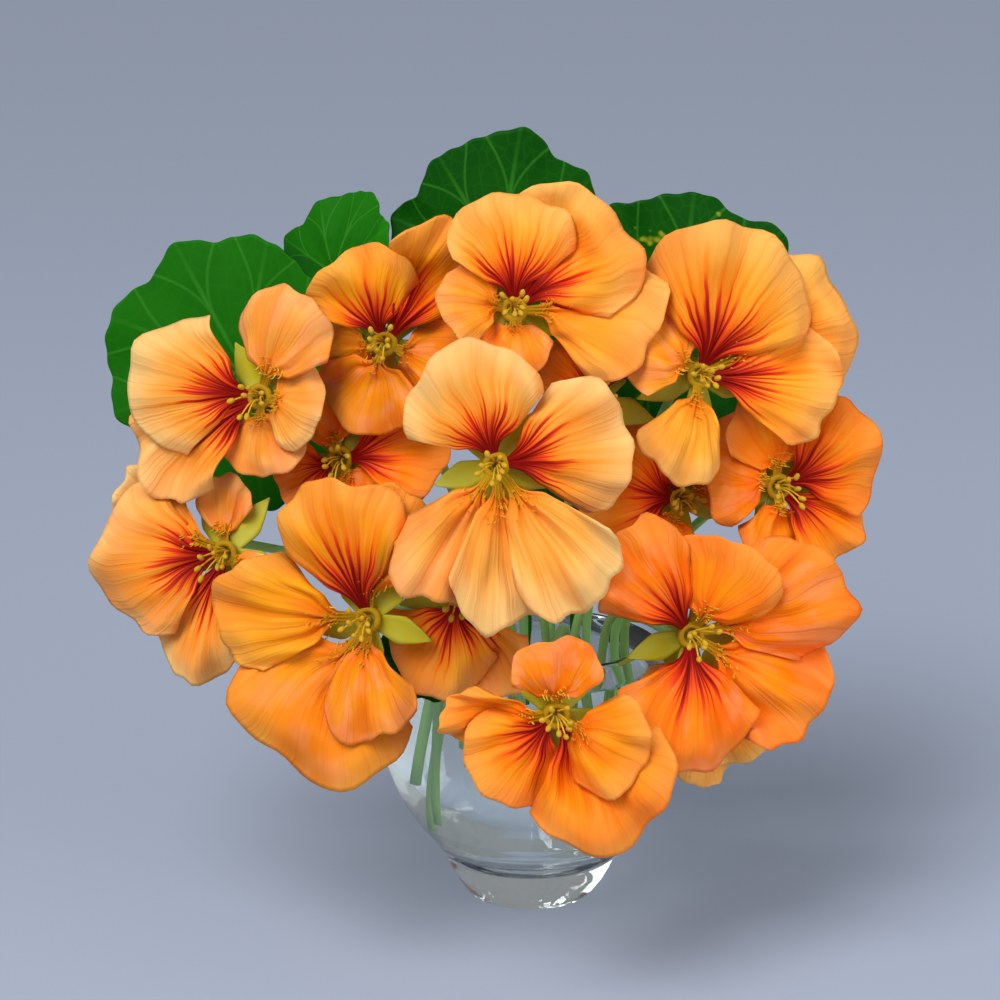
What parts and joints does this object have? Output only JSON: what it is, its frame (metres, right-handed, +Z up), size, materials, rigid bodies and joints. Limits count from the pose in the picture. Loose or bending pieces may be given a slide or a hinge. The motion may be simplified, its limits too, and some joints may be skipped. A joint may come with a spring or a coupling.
{
  "type": "bunch of cut nasturtiums in a glass vase",
  "caption": "Loose bunch of orange and cream nasturtium blooms with round shield leaves, standing in water in a small round glass vase.",
  "frame": {"origin": "middle of the flat underside of the vase", "axes": "+Z up the vase, -Y towards the side that the blooms lean to and face"},
  "size_m": [0.2212, 0.1377, 0.2237],
  "materials": {
    "petal_cream": "satin",
    "petal_apricot": "satin",
    "petal_orange": "satin",
    "petal_golden": "satin",
    "stalk": "satin",
    "leaf": "satin",
    "glass": "gloss",
    "water": "gloss"
  },
  "bodies": {
    "root": {"vase": "glass", "water": "water", "bloom_01_petals": "petal_orange", "bloom_01_stalk": "stalk", "bloom_02_petals": "petal_cream", "bloom_02_stalk": "stalk", "bloom_03_petals": "petal_orange", "bloom_03_stalk": "stalk", "bloom_04_petals": "petal_golden", "bloom_04_stalk": "stalk", "bloom_05_petals": "petal_apricot", "bloom_05_stalk": "stalk", "bloom_06_petals": "petal_apricot", "bloom_06_stalk": "stalk", "bloom_07_petals": "petal_cream", "bloom_07_stalk": "stalk", "bloom_08_petals": "petal_cream", "bloom_08_stalk": "stalk", "bloom_09_petals": "petal_orange", "bloom_09_stalk": "stalk", "bloom_10_petals": "petal_golden", "bloom_10_stalk": "stalk", "bloom_11_petals": "petal_apricot", "bloom_11_stalk": "stalk", "bloom_12_petals": "petal_orange", "bloom_12_stalk": "stalk", "bloom_13_petals": "petal_orange", "bloom_13_stalk": "stalk", "bloom_14_petals": "petal_orange", "bloom_14_stalk": "stalk", "bloom_15_petals": "petal_apricot", "bloom_15_stalk": "stalk", "leaf_1": "leaf", "leaf_2": "leaf", "leaf_3": "leaf", "leaf_4": "leaf", "leaf_5": "leaf", "leaf_6": "leaf", "leaf_7": "leaf"}
  },
  "joints": []
}
